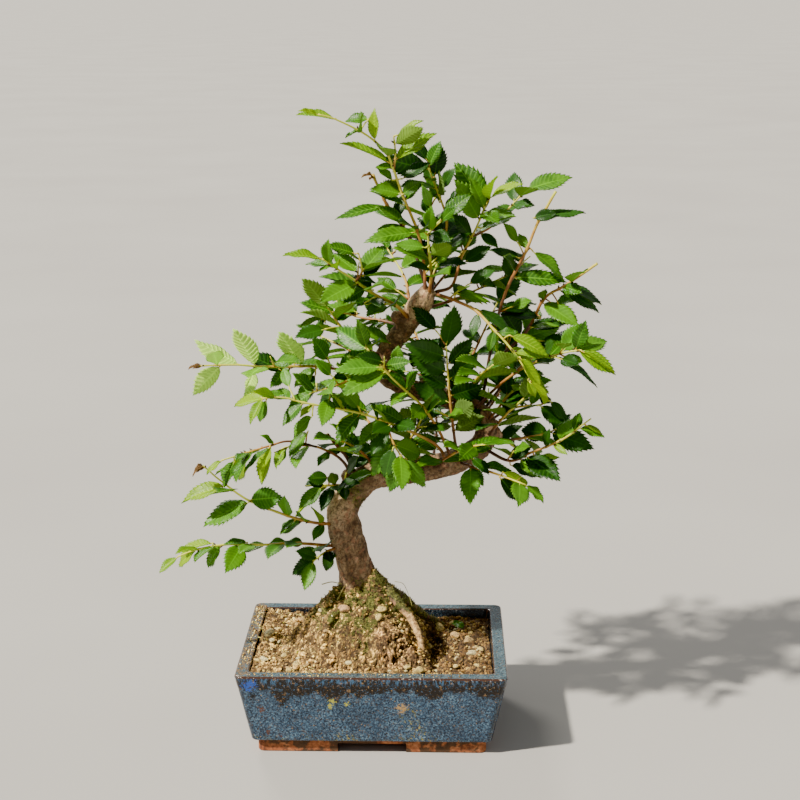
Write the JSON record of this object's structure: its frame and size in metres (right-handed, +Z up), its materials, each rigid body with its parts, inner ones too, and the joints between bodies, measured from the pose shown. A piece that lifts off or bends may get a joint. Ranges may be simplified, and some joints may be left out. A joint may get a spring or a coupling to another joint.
{
  "type": "zelkova bonsai",
  "caption": "Small informal bonsai tree with an S-shaped trunk and serrated leaves on thin twigs, rooted in soil in a glazed rectangular pot on corner feet.",
  "frame": {"origin": "middle of the whole object's bounding box in plan, on the surface that the pot's feet stand on", "axes": "+Z up the tree, +X to the right as seen from the pot's front, +Y to the back"},
  "size_m": [0.2992, 0.1864, 0.4251],
  "materials": {
    "glaze": "glossy speckled blue glaze with a dark drip band below the rim, on unglazed terracotta feet",
    "earth": "crumbly matte brown loam with pale granules",
    "bark": "matte grey-brown bark with some moss",
    "net": "plain matte black net",
    "leaf_mid": "waxy mid-green leaves, lightly glossy, on brown twigs",
    "leaf_dark": "glossy dark green leaves on brown twigs",
    "leaf_young": "soft yellow-green young leaves on green twigs",
    "leaf_pale": "matte pale green undersides of leaves on brown twigs"
  },
  "bodies": {
    "root": {"pot": "glaze", "soil": "earth", "trunk": "bark", "drain_screen_left": "net", "drain_screen_right": "net", "spray_left_low": "leaf_mid", "spray_left_tuft": "leaf_dark", "spray_left_mid": "leaf_mid", "spray_left_upper": "leaf_mid", "spray_left_stub": "leaf_dark", "spray_left_shiny": "leaf_dark", "spray_left_pale": "leaf_pale", "spray_front_left_long": "leaf_mid", "spray_front_left_upper": "leaf_mid", "spray_front_mid_left": "leaf_mid", "spray_upper_left": "leaf_mid", "spray_upper_left_back": "leaf_dark", "spray_top_arc": "leaf_mid", "spray_top_stub": "leaf_dark", "spray_top_centre": "leaf_dark", "spray_front_up": "leaf_mid", "spray_top_right": "leaf_mid", "spray_right_bare": "leaf_dark", "spray_right_second": "leaf_mid", "spray_right_cluster": "leaf_mid", "spray_right_arching": "leaf_young", "spray_right_mid": "leaf_dark", "spray_right_upper_mid": "leaf_mid", "spray_right_low_back": "leaf_mid", "spray_right_low": "leaf_mid", "spray_bottom_right": "leaf_mid", "spray_left_inner": "leaf_mid", "spray_left_low_inner": "leaf_mid", "spray_inner_low": "leaf_dark", "spray_inner_middle": "leaf_dark", "spray_inner_right": "leaf_dark", "spray_front_low": "leaf_mid", "spray_front_right": "leaf_mid", "spray_right_upper_inner": "leaf_mid", "spray_right_out": "leaf_dark", "spray_back_low_left": "leaf_dark", "spray_back_low": "leaf_dark", "spray_back_low_right": "leaf_mid", "spray_back_middle": "leaf_dark", "spray_back_middle_left": "leaf_mid", "spray_back_middle_right": "leaf_dark", "spray_back_upper": "leaf_mid", "spray_back_upper_right": "leaf_dark", "spray_back_top": "leaf_mid"}
  },
  "joints": []
}
